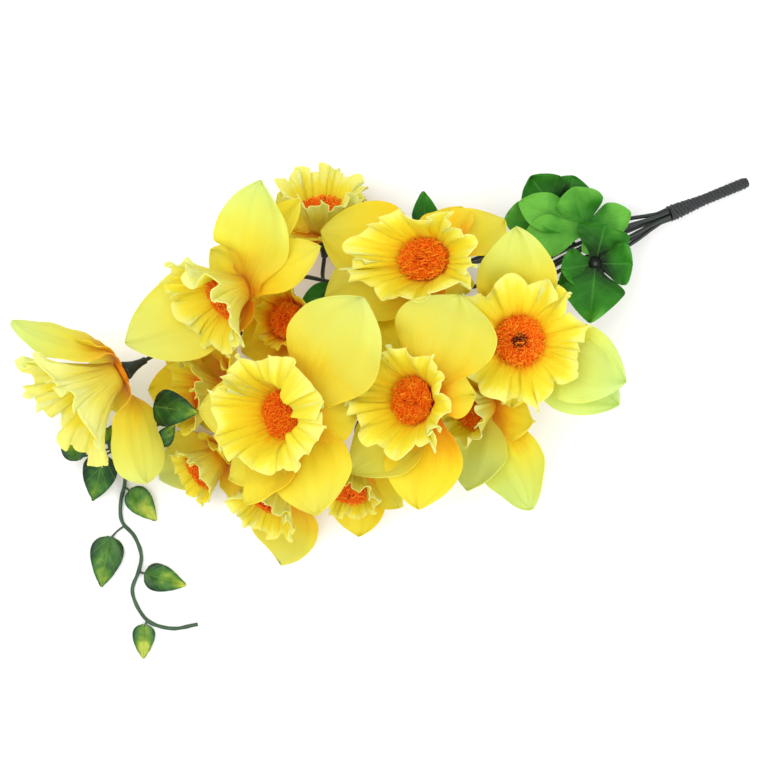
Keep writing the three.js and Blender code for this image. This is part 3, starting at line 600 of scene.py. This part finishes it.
def corona_part(bloom):
    """A ruffled cup: broad folds as in the frame, irregular pleats, and a rim that winds to and fro."""
    rows, columns = FINE[bloom.size + " cup"]
    phases = np.random.default_rng(7 + bloom.index).uniform(0, 2 * pi, 10)
    ts = np.linspace(0, 1, rows) ** 0.85  # the rings are closer together near the rim
    t, angle = np.meshgrid(ts, ring_angles(columns), indexing="ij")
    cup = bloom.cup
    warped = angle + 0.16 * np.sin(2 * angle + phases[0]) + 0.09 * np.sin(5 * angle + phases[1])
    broad = CORONA.folds * angle + bloom.phase
    swell = CUP_CLOTH.broad * cup * t * t * (1 + CORONA.swing * np.sin(2 * angle + 2 * bloom.phase))
    spread = CORONA.rim * cup - CORONA.root
    radius = CORONA.root + spread * ((1 - CORONA.late) * t + CORONA.late * t ** CORONA.flare)
    share = CORONA.least + (1 - CORONA.least) * cup
    deep = CORONA.high * bloom.deep * share - CORONA.low
    height = CORONA.low + deep * t ** CORONA.curl

    late = cup * t ** CUP_CLOTH.late
    strength = 1 + 0.45 * np.sin(3 * angle + phases[2]) + 0.25 * np.sin(7 * angle + phases[3])
    wind = RUFFLES.count * warped + phases[4] + RUFFLES.turn * t
    small = RIPPLES.count * warped + phases[5] + RIPPLES.turn * t
    rim = smoothstep(t, CUP_CLOTH.rim, 1)
    radius += CORONA.fold * swell * np.cos(broad)
    radius += late * strength * (RUFFLES.out * np.sin(wind) + RIPPLES.out * np.sin(small))
    height += CORONA.lift * swell * np.sin(broad)
    height += late * (RUFFLES.along * np.cos(wind + 0.6) + RIPPLES.along * np.cos(small) * strength)
    height -= cup * rim * rim * (CUP_CLOTH.droop + 0.9 * np.sin(5 * angle + phases[6]))
    sideways = late * strength
    sideways *= RUFFLES.side * np.sin(2 * wind + 0.5) + RIPPLES.side * np.sin(2 * small)
    creases = sum(
        depth * pleat(count * warped + phase + turn * t)
        for phase, (count, depth, turn) in zip(phases[7:9], PLEATS)
    )
    creases *= smoothstep(t, 0.04, 0.5) * (1 - 0.5 * rim)
    radius += CUP_CLOTH.pleat * cup * creases
    radius += rim * cup * (0.5 + 0.8 * np.sin(9 * warped + phases[9]))
    for middle, width, amount in bloom.folded:
        away = np.angle(np.exp(1j * (angle - radians(middle)))) / radians(width)
        near = amount * np.exp(-(away ** 2))
        radius *= 1 - near * smoothstep(t, FOLDED.start, FOLDED.back)
        radius += FOLDED.out * near * smoothstep(t, FOLDED.back, 1)
        height += FOLDED.up * near * smoothstep(t, FOLDED.start, 0.8) * (1 - smoothstep(t, 0.86, 1))
    around = angle + sideways / np.maximum(radius, 4)

    foot = np.linspace(CUP_CLOTH.foot, CORONA.root, 4)[:-1, None]
    below = ((len(foot), 0), (0, 0))  # rows that the flat foot adds
    radius = np.concatenate([np.broadcast_to(foot, (len(foot), columns)), radius])
    height = np.pad(height, below, constant_values=CORONA.low)
    around = np.concatenate([angle[:len(foot)], around])
    points = mouth_points(bloom, around, radius, height).reshape(-1, 3)
    points[:, 2] = np.maximum(points[:, 2], FABRIC / 2)
    attributes = {
        "along": np.pad(t, below).ravel(), "fold": np.pad(creases, below).ravel(),
        "across": np.tile(angle[0] / pi - 1, len(radius)),
    }
    faces = grid_faces(len(radius), columns, closed=True)
    solid, faces, looks = shell(points, faces, FABRIC, attributes)
    inside = np.repeat([1.0, 0.0], len(points))
    return solid, faces, {**looks, "tone": varied(bloom.index, 0.29), "warm": bloom.warm, "inside": inside}


def pad_parts(bloom):
    """Looped threads that stand close together on a round core."""
    draw = np.random.default_rng(31 + bloom.index)
    wide = PAD.radius * (0.5 + 0.5 * bloom.cup) / max(1, bloom.deep) ** 0.6
    shoulder = PAD.low + (PAD.shoulder - PAD.low) * min(1, bloom.deep)
    edge = wide - THREADS.rim
    count = THREADS[bloom.size]
    order = np.arange(count) + 0.5
    reach = edge * np.sqrt(order / count)
    where = order * pi * (3 - sqrt(5))
    uneven = draw.uniform(-THREADS.uneven, THREADS.uneven, count)
    dome = shoulder + 0.3 - THREADS.dome * (reach / wide) ** 2 + uneven
    loop = draw.uniform(*THREADS.loop, count)
    facing = draw.uniform(0, pi, count)
    arc = np.linspace(-THREADS.bent, pi + THREADS.bent, 8)
    lean = THREADS.lean * reach / wide
    rise = loop[:, None] * THREADS.tall * np.sin(arc)
    x, y = (
        (reach * part(where))[:, None] + (loop * part(facing))[:, None] * np.cos(arc)
        + (lean * part(where))[:, None] * rise + draw.normal(0, THREADS.stray, rise.shape)
        for part in (np.cos, np.sin)
    )
    paths = mouth_points(bloom, np.arctan2(y, x), np.hypot(x, y), dome[:, None] + rise)
    points, faces = pipes(paths, np.full(paths.shape[:2], THREADS.radius), 3)
    each = len(points) // count
    tone = draw.uniform(0, 1, count)
    tone[(reach < bloom.specks * wide) & (draw.uniform(0, 1, count) < THREADS.dark)] = -1
    threads = {"along": np.repeat(reach / wide, each), "tone": np.repeat(tone, each)}

    sides = 32
    side = np.linspace(0, 1, 5)
    radii = [*(PAD.foot + (edge - PAD.foot) * side), wide - 1.6, wide * 0.6, wide * 0.3, 0.4]
    levels = [*(PAD.low + (shoulder - 2 - PAD.low) * side), *(shoulder + np.array([-1, 0, 0.3, 0.4]))]
    angle, radius = np.meshgrid(ring_angles(sides), radii)
    core = mouth_points(bloom, angle, radius, np.repeat(levels, sides).reshape(radius.shape)).reshape(-1, 3)
    looks = {"along": np.repeat(radii, sides) / wide, "tone": 0.2}
    return [(core, tube_faces(len(radii), sides), looks), (points, faces, threads)]


# Stems
SOUGHT = 121  # points of a line among which the nearest to another point is sought


def curve_points(points, ts):
    """Points on a centripetal Catmull-Rom curve. Its ends are extended in a straight line."""
    points = np.asarray(points, float)
    ends = [2 * points[0] - points[1], *points, 2 * points[-1] - points[-2]]
    result = []
    for t in ts:
        place_on = t * (len(points) - 1)
        first = min(int(place_on), len(points) - 2)
        w = place_on - first
        p = ends[first : first + 4]
        a, b, c = (max(np.linalg.norm(p[k + 1] - p[k]) ** 0.5, 1e-4) for k in range(3))
        start = (p[1] - p[0]) / a - (p[2] - p[0]) / (a + b) + (p[2] - p[1]) / b
        end = (p[2] - p[1]) / b - (p[3] - p[1]) / (b + c) + (p[3] - p[2]) / c
        start, end = start * b, end * b
        cubic = 2 * p[1] - 2 * p[2] + start + end
        square = -3 * p[1] + 3 * p[2] - 2 * start - end
        result.append(p[1] + start * w + square * w * w + cubic * w ** 3)
    return np.array(result)


def nearest(line, point):
    return line[np.argmin(np.linalg.norm(line - point, axis=1))]


def binding_point(along, offset=0.0, around=0.0):
    """A point of the bound stems, from its distance to the handle's tip and its place beside their line."""
    angle, turned = radians(BINDING_ANGLE), radians(around)
    point = np.array(HANDLE_TIP) - along * np.array([cos(angle), sin(angle), 0])
    point[2] += CLIMB * min(along, CLIMB_END) + offset * sin(turned)
    return point + offset * cos(turned) * np.array([-sin(angle), cos(angle), 0])


def stem_part(points, radius, steps, sides=12, swell=0.06):
    """A tube that passes the points and swells a little here and there."""
    line = curve_points(points, np.linspace(0, 1, steps))
    run = np.concatenate([[0], np.cumsum(np.linalg.norm(np.diff(line, axis=0), axis=1))])
    radii = radius * (1 + swell * np.sin(run * 0.9) * np.sin(run * 0.23))
    solid, faces = pipes(line[None], radii[None], sides, reference=(0.12, 0.05, 0.99))
    return solid, faces, {"along": np.repeat(run, sides), "tone": 0.5}


def calyx_part(bloom):
    """A fluted cup behind a bloom."""
    long, foot, waist, wide = CALYX.long, CALYX.foot, CALYX.waist, CALYX.radius
    profile = [
        (0, -long - 0.4), (foot * 0.8, -long - 0.3), (foot, -long), (foot * 1.05, -0.8 * long),
        (waist, -0.5 * long), (wide * 0.78, -0.28 * long), (wide, -1.2), (wide * 1.02, -0.4),
        (wide * 0.9, 0), (0, 0),
    ]
    points, faces = revolve(profile, 30, bloom.origin, bloom.axes)
    right, up, ahead = bloom.axes
    local = points - bloom.origin
    angle = np.arctan2(local @ up, local @ right)
    level = np.clip(1 + (local @ ahead) / long, 0, 1)
    sideways = local - (local @ ahead)[:, None] * ahead
    points = points + sideways * (CALYX.flute * level * np.cos(CALYX.flutes * angle))[:, None]
    return points, faces, {"along": 10 * level, "tone": 0.8}


def fork_parts(name, far, near, leaves, around, fan, by, branch_by):
    """An arm with its calyx, its branch if it has one, and the twigs of the whorls that it carries."""
    bloom = blooms[far]
    slot = 0 if around is None else STEM.slot
    way = [binding_point(HANDLE.long + x, share * fan + slot, around or 0) for x, share in FAN]
    way += [*by, behind(bloom, STEM.neck), behind(bloom, CALYX.long - CALYX.sunk)]
    arm = curve_points(way, np.linspace(0, 1, SOUGHT))
    parts = [stem_part(way, STEM.radius, STEM_STEPS.arm), calyx_part(bloom)]
    if near:
        other = blooms[near]
        passed = branch_by or [behind(other, STEM.branch_neck)]
        end = behind(other, CALYX.long - CALYX.sunk)
        start = curve_points(way, [leaves])[0]
        parts += [stem_part([start, *passed, end], STEM.radius, STEM_STEPS.branch), calyx_part(other)]
    for whorl in WHORLS.values():
        if whorl.stem != name:
            continue
        ahead = axes_of(whorl.face)[2]
        hub = np.array(whorl.hub, float)
        top = hub + ahead * (FABRIC + 2 * WHORL.layer + WHORL.twig)
        twig = [nearest(arm, hub), hub - ahead * WHORL.neck, top]
        parts.append(stem_part(twig, STEM.radius, STEM_STEPS.twig))
    return parts


# Leaves
def whorl_parts(whorl, seed):
    origin, axes = np.array(whorl.hub, float), axes_of(whorl.face)
    parts = []
    for number, (turn, lean, bend, *rest) in enumerate(whorl.leaves):
        blade = make_blade({**LEAF, "bend": bend}, 0.4 + WHORL.layer * (number % 3), turn, lean, *rest)
        tone = whorl.light + 0.3 * (varied(number, 0.41) - 0.5)
        parts.append(blade_part(origin, axes, blade, "leaf", FABRIC, leaf_relief(seed + number), tone))
    wide, high = WHORL.hub, 0.8 + 2 * WHORL.layer
    profile = [(0, 0), (wide - 0.6, 0), (wide, 0.6), (wide - 0.4, high - 0.8), (1.4, high), (0, high)]
    # The hub takes the darkest green and no midrib: painted shade at the middle where the leaves meet.
    parts.append((*revolve(profile, 20, origin, axes), {**dict.fromkeys(BLADE_KEYS, 0.0), "across": 1.0}))
    return parts


def ivy_parts():
    line = curve_points(IVY_LINE, np.linspace(0, 1, SOUGHT))
    vine = [stem_part(IVY_LINE, IVY.radius, STEM_STEPS.ivy, sides=10, swell=0.1)]
    leaves = []
    for number, (base, turn, long, tilt) in enumerate(IVY_LEAVES):
        origin = np.array(base, float)
        turned, tilted = radians(turn), radians(tilt)
        x, y = cos(turned), sin(turned)
        axes = axes_of((-x * sin(tilted), -y * sin(tilted), cos(tilted)))
        out = np.array([x * cos(tilted), y * cos(tilted), sin(tilted)])
        facing = degrees(atan2(out @ axes[1], out @ axes[0]))
        blade = make_blade(IVY_LEAF, 0, facing, IVY.lean, long, long * IVY.wide)
        relief = ivy_relief(500 + number)
        leaves.append(blade_part(origin, axes, blade, "ivy leaf", IVY_SHEET, relief, varied(number)))
        start = nearest(line, origin)
        stalk = [start, (start + origin) / 2, origin + out * IVY.sunk]
        vine.append(stem_part(stalk, IVY.stalk, STEM_STEPS.stalk, sides=8))
    return vine, leaves


def handle_part():
    """Stems twisted together under dark tape: a section with three lobes that turns along the handle."""
    rows, columns, lobes, pitch = 320, 32, 3, 5.2
    along = np.linspace(0, HANDLE.long, rows)
    start, end = binding_point(0), binding_point(HANDLE.long)
    right, up, ahead = axes_of(end - start)
    radius = HANDLE.tip + (HANDLE.top - HANDLE.tip) * smoothstep(along / HANDLE.long, 0.5, 1)
    radius *= 0.9 + 0.1 * smoothstep(along, 0, 2.5)
    s, angle = np.meshgrid(along, ring_angles(columns), indexing="ij")
    turned = lobes * (angle - 2 * pi * s / pitch)
    tape = 1 + 0.14 * (np.abs(np.cos(turned / 2)) - 0.6) + 0.03 * np.sin(2.3 * s + 2 * angle)
    reach = radius[:, None] * tape
    length = np.linalg.norm(end - start)
    points = start + ahead * (s / HANDLE.long * length)[..., None]
    points = points + right * (reach * np.cos(angle))[..., None] + up * (reach * np.sin(angle))[..., None]
    points = points.reshape(-1, 3)
    points[:, 2] = np.maximum(points[:, 2], 0)
    # The tone follows the lobes: painted highlights on the crests of the twist and painted shade in its
    # grooves.
    looks = {"along": s.ravel(), "tone": np.abs(np.cos(turned / 2)).ravel()}
    return points, tube_faces(rows, columns), looks


# Materials. Where a noise is given no point, its scale is for each metre. Bump distances are millimetres.
CLOTH = {"Sheen Weight": 0.05, "Sheen Roughness": 0.5, "Specular IOR Level": 0.25}
WEAVE = 12.6  # radians for each millimetre, so that the threads lie half a millimetre apart
WEAVE_HEIGHT = 0.12  # share of the bump that the weave has


def linear(code):
    """An sRGB colour code as the linear colour that a socket takes."""
    parts = [((code >> shift) & 255) / 255 for shift in (16, 8, 0)]
    return [c / 12.92 if c <= 0.04045 else ((c + 0.055) / 1.055) ** 2.4 for c in parts] + [1.0]


class Look:
    """A material whose Principled shader is set up step by step."""

    def __init__(self, name, roughness, constants):
        self.material = bpy.data.materials.new(name)
        self.material.use_nodes = True
        self.nodes = self.material.node_tree.nodes
        self.links = self.material.node_tree.links
        self.shader = self.nodes["Principled BSDF"]
        for socket, value in {"Roughness": roughness, **constants}.items():
            self.shader.inputs[socket].default_value = value

    def feed(self, socket, value):
        """Sets a number or colour, links what comes from another node, and leaves the socket with None."""
        if isinstance(value, (int, float, list)):
            socket.default_value = value
        elif value is not None:
            self.links.new(value, socket)

    def node(self, kind, *values, **settings):
        """A new node, with values for its sockets in their order."""
        made = self.nodes.new("ShaderNode" + kind)
        for key, value in settings.items():
            setattr(made, key, value)
        for socket, value in zip(made.inputs, values):
            self.feed(socket, value)
        return made

    def attributes(self, *names):
        return [self.node("Attribute", attribute_name=name).outputs["Fac"] for name in names]

    def math(self, operation, *values):
        return self.node("Math", *values, operation=operation).outputs[0]

    def times(self, value, by):
        return self.math("MULTIPLY", value, by)

    def shift(self, value, by, share, middle=0.0):
        """The value, moved by a share of how far another one is from its middle."""
        if middle:
            by = self.math("SUBTRACT", by, middle)
        return self.math("ADD", value, self.times(by, share))

    def noise(self, scale, detail=2.0, at=()):
        """Noise at a point of three values, or at the surface's own point in metres."""
        vector = self.node("CombineXYZ", *at) if at else self.node("TexCoord")
        vector = vector.outputs["Vector" if at else "Object"]
        return self.node("TexNoise", vector, None, scale, detail).outputs["Fac"]

    def ramp(self, factor, *stops):
        made = self.node("ValToRGB", factor)
        elements = made.color_ramp.elements
        while len(elements) < len(stops):
            elements.new(0.5)
        for element, (position, code) in zip(elements, stops):
            element.position = position
            element.color = linear(code)
        return made.outputs["Color"]

    def mix(self, factor, first, second):
        unused = [None] * 5  # sockets for other kinds of values
        return self.node("Mix", factor, *unused, first, second, data_type="RGBA").outputs[2]

    def bump(self, height, strength, distance):
        made = self.node("Bump", strength, distance * MM, None, height)
        self.feed(self.shader.inputs["Normal"], made.outputs[0])

    def colour(self, colour, translucent=0.0):
        self.feed(self.shader.inputs["Base Color"], colour)
        if translucent:
            through = self.node("BsdfTranslucent", colour).outputs[0]
            both = self.node("MixShader", translucent, self.shader.outputs[0], through)
            self.feed(self.nodes["Material Output"].inputs["Surface"], both.outputs[0])


def weave(look):
    """A plain weave, from the distances across and along the cloth."""
    warp, weft = (look.math("SINE", look.times(way, WEAVE)) for way in look.attributes("reach", "run"))
    return look.times(warp, weft)


def petal_material():
    look = Look("petal_cloth", 0.6, CLOTH)
    along, across, tone, lime = look.attributes("along", "across", "tone", "lime")
    streaks = look.noise(3.0, 3.0, (look.times(along, 1.2), look.times(across, 8), tone))
    moved = look.shift(along, look.noise(34.0), 0.6, middle=0.5)
    moved = look.shift(moved, streaks, 0.35, middle=0.5)
    moved = look.shift(moved, tone, 0.25, middle=0.5)
    # Two copies of the petal colour: the warm one is their deep yellow, which also stands for their shade,
    # and the pale, greener lemon one is painted light for lit, glowing petals; each petal's share mixes
    # them.
    warm = look.ramp(
        moved, (0, 0xF09A06), (0.1, 0xF2B40A), (0.28, 0xF5D014), (0.48, 0xF4DF26), (0.74, 0xF1E43C),
        (1, 0xECE354),
    )
    lit_colour = look.ramp(
        moved, (0, 0xF0B00C), (0.12, 0xF0D422), (0.28, 0xEEE84A), (0.5, 0xE6EA70), (0.75, 0xDFEB88),
        (1, 0xD8EA9C),
    )
    look.colour(look.mix(lime, warm, lit_colour), translucent=0.45)
    look.bump(look.shift(streaks, weave(look), WEAVE_HEIGHT), 0.35, 0.5)
    return look.material


def corona_material():
    look = Look("cup_cloth", 0.6, CLOTH)
    along, across, tone = look.attributes("along", "across", "tone")
    fold, warm, inside = look.attributes("fold", "warm", "inside")
    pleats = look.noise(4.0, 3.0, (look.times(along, 0.9), look.times(across, 14), tone))
    moved = look.shift(along, pleats, 0.5, middle=0.5)
    moved = look.shift(moved, fold, 0.05)
    # Shifted towards orange by the bloom's warm value: painted shade in the cups of i, j and m; below zero,
    # paler.
    moved = look.shift(moved, warm, -0.3)
    inner = look.ramp(
        moved, (0, 0xE05A02), (0.15, 0xEC7C04), (0.27, 0xF2AA0A), (0.39, 0xF4C812), (0.54, 0xF4DC22),
        (0.84, 0xF2E63E), (1, 0xF2EE84),
    )
    outer = look.ramp(
        moved, (0, 0xEEA808), (0.1, 0xF0C81C), (0.3, 0xEADE44), (0.65, 0xE6E66A), (1, 0xEDF2A6),
    )
    look.colour(look.mix(inside, outer, inner), translucent=0.4)
    look.bump(pleats, 0.5, 0.6)
    return look.material


def pad_material():
    look = Look("pad_thread", 0.7, {"Specular IOR Level": 0.2})
    tone, along = look.attributes("tone", "along")
    fray = look.noise(900.0)
    mixed = look.shift(look.times(tone, 0.85), fray, 0.3)
    mixed = look.shift(mixed, along, 0.35, middle=0.6)
    look.colour(look.ramp(
        mixed, (0, 0x4A1606), (0.08, 0xD84802), (0.26, 0xF26404), (0.6, 0xFA8206), (1, 0xFCAA24),
    ))
    look.bump(fray, 0.4, 0.15)
    return look.material


def vein_mask(look, along, across, veins, strength):
    """One at the midrib, and up to strength at the side veins, which slant towards the tip."""
    count, slant = veins
    sideways = look.math("ABSOLUTE", across)
    turns = look.times(look.shift(along, sideways, -slant), count)
    side_veins, midrib = (
        look.math("SUBTRACT", 1.0, look.math("MINIMUM", look.times(distance, sharp), 1.0))
        for distance, sharp in ((look.math("ABSOLUTE", look.math("SINE", turns)), 4.0), (sideways, 14.0))
    )
    return look.math("MAXIMUM", look.times(side_veins, strength), midrib)


def leaf_material():
    look = Look("leaf_cloth", 0.6, {"Specular IOR Level": 0.2})
    along, across, tone = look.attributes("along", "across", "tone")
    clouds = look.noise(75.0, 4.0)
    # Darker towards the root: painted shade where the leaves meet at the hub.
    shade = look.shift(look.times(along, 0.7), clouds, 1.1)
    shade = look.shift(shade, tone, 0.7, middle=0.9)
    base = look.ramp(shade, (0, 0x061405), (0.22, 0x164A0C), (0.6, 0x2C7A18), (1, 0x62AC3A))
    veins = vein_mask(look, along, across, LEAF_VEINS, 0.4)
    look.colour(look.mix(look.times(veins, 0.45), base, linear(0x4E9630)), translucent=0.15)
    look.bump(look.shift(clouds, weave(look), WEAVE_HEIGHT), 0.3, 0.5)
    return look.material


def ivy_material():
    look = Look("ivy_plastic", 0.4, {"Specular IOR Level": 0.25})
    along, across, tone = look.attributes("along", "across", "tone")
    clouds = look.noise(140.0, 3.0)
    shade = look.shift(clouds, along, 0.55)
    shade = look.shift(shade, look.math("POWER", look.math("ABSOLUTE", across), 3.0), -0.45)
    shade = look.shift(shade, tone, 0.35, middle=0.5)
    base = look.ramp(
        shade, (0.15, 0x0B2710), (0.42, 0x194318), (0.7, 0x3E6E22), (0.92, 0x7E962A), (1, 0xA2AE40),
    )
    veins = vein_mask(look, along, across, IVY_VEINS, 0.6)
    look.colour(look.mix(look.times(veins, 0.3), base, linear(0x7FA04A)))
    look.bump(look.shift(clouds, veins, -0.4), 0.4, 0.5)
    return look.material


def plastic_material(name, roughness, blotches, grain, *stops):
    """Moulded plastic with blotches and a fine grain, from the scales of both."""
    look = Look(name, roughness, {})
    look.colour(look.ramp(look.noise(blotches), *stops))
    look.bump(look.noise(grain), 0.3, 0.1)
    return look.material


def binding_material():
    look = Look("binding_tape", 0.5, {})
    # Lighter on the crests of the twist and darker in its grooves: painted highlights and painted shade.
    look.colour(look.ramp(look.attributes("tone")[0], (0, 0x010202), (0.5, 0x070B0C), (1, 0x171F20)))
    look.bump(look.noise(700.0), 0.35, 0.15)
    return look.material


def floor_material():
    look = Look("pale_floor", 0.8, {})
    look.colour(look.ramp(look.noise(3.0), (0.3, 0xF6F6F6), (0.7, 0xFAFAFA)))
    return look.material


petal_cloth, cup_cloth, pad_thread = petal_material(), corona_material(), pad_material()
leaf_cloth, ivy_plastic, binding_tape = leaf_material(), ivy_material(), binding_material()
stem_plastic = plastic_material(
    "stem_plastic", 0.45, 160.0, 900.0, (0.25, 0x080F0B), (0.6, 0x101D14), (0.9, 0x1F3324),
)
vine_plastic = plastic_material("vine_plastic", 0.42, 120.0, 800.0, (0.3, 0x11301A), (0.7, 0x2B5030))

for key, bloom in blooms.items():
    petals = petals_parts(bloom, PETALS[key])
    add_piece(f"bloom_{key}_petals", petals, petal_cloth, "petal", f"petals_{key}")
    add_piece(f"bloom_{key}_cup", [corona_part(bloom)], cup_cloth, "corona", f"corona_{key}")
    add_piece(f"bloom_{key}_threads", pad_parts(bloom), pad_thread, "pad", f"pad_{key}")
for key, fork in FORKS.items():
    add_piece(f"smooth_{key}", fork_parts(key, *fork), stem_plastic, "stem", key)
for number, (key, whorl) in enumerate(WHORLS.items()):
    add_piece(f"leaves_{key}", whorl_parts(whorl, 300 + 10 * number), leaf_cloth, "leaf", key)
ivy_vine, ivy_leaves = ivy_parts()
add_piece("ivy_vine", ivy_vine, vine_plastic, "ivy")
add_piece("ivy_leaves", ivy_leaves, ivy_plastic, "ivy", "ivy")
add_piece("twisted_handle", [handle_part()], binding_tape, "binding", "handle")


# Floor, light and camera
CAMERA_HIGH = 1500.0  # height of the camera above the surface
SHARP_LEVEL = 55.0  # height at which PIXEL is exact
PIXEL = 0.45  # millimetres for each of the picture's pixels
PICTURE = 760  # pixels
SENSOR = 36.0  # its width in the camera's own millimetres
FLOOR_REACH = 4.0  # metres to each side; the next two are metres too
FLOOR_DROP = 0.0004
FAR = 20


def add_floor():
    far = FLOOR_REACH
    corners = [(-far, -far, 0), (far, -far, 0), (far, far, 0), (-far, far, 0)]
    mesh = bpy.data.meshes.new("floor")
    mesh.from_pydata(corners, [], [(0, 1, 2, 3)])
    mesh.materials.append(floor_material())
    floor = add_object("floor", mesh)
    floor.location.z = -FLOOR_DROP


def add_light(name, location, size, power, colour):
    """A square light, in metres, that looks at the frame's origin."""
    light = bpy.data.lights.new(name, "AREA")
    light.shape = "SQUARE"
    light.size = size
    light.energy = power
    light.color = colour
    lamp = add_object(name, light)
    lamp.location = location
    lamp.rotation_euler = (-Vector(location)).to_track_quat("-Z", "Y").to_euler()


def add_camera():
    """A camera that looks straight down on the middle of the layout."""
    half = PICTURE / 2 * PIXEL
    camera = bpy.data.cameras.new("camera")
    camera.sensor_width = SENSOR
    camera.lens = SENSOR / 2 * (CAMERA_HIGH - SHARP_LEVEL) / half
    camera.clip_end = FAR
    stand = add_object("camera", camera)
    stand.location = (PLACE[0] * MM, PLACE[1] * MM, CAMERA_HIGH * MM)
    stand.rotation_euler = (0, 0, -radians(BINDING_ANGLE))
    bpy.context.scene.camera = stand


def add_sky(strength):
    world = bpy.data.worlds.new("studio")
    world.use_nodes = True
    background = world.node_tree.nodes["Background"]
    background.inputs["Color"].default_value = (1, 1, 1, 1)
    background.inputs["Strength"].default_value = strength
    bpy.context.scene.world = world


add_floor()
add_light("key", (-0.35, 0.4, 1.5), 1.0, 13, (1.0, 1.0, 0.99))
add_light("fill", (0.7, -1.0, 1.0), 1.4, 12, (0.98, 0.99, 1.0))
add_sky(0.98)
add_camera()
bpy.context.scene.view_settings.view_transform = "Standard"
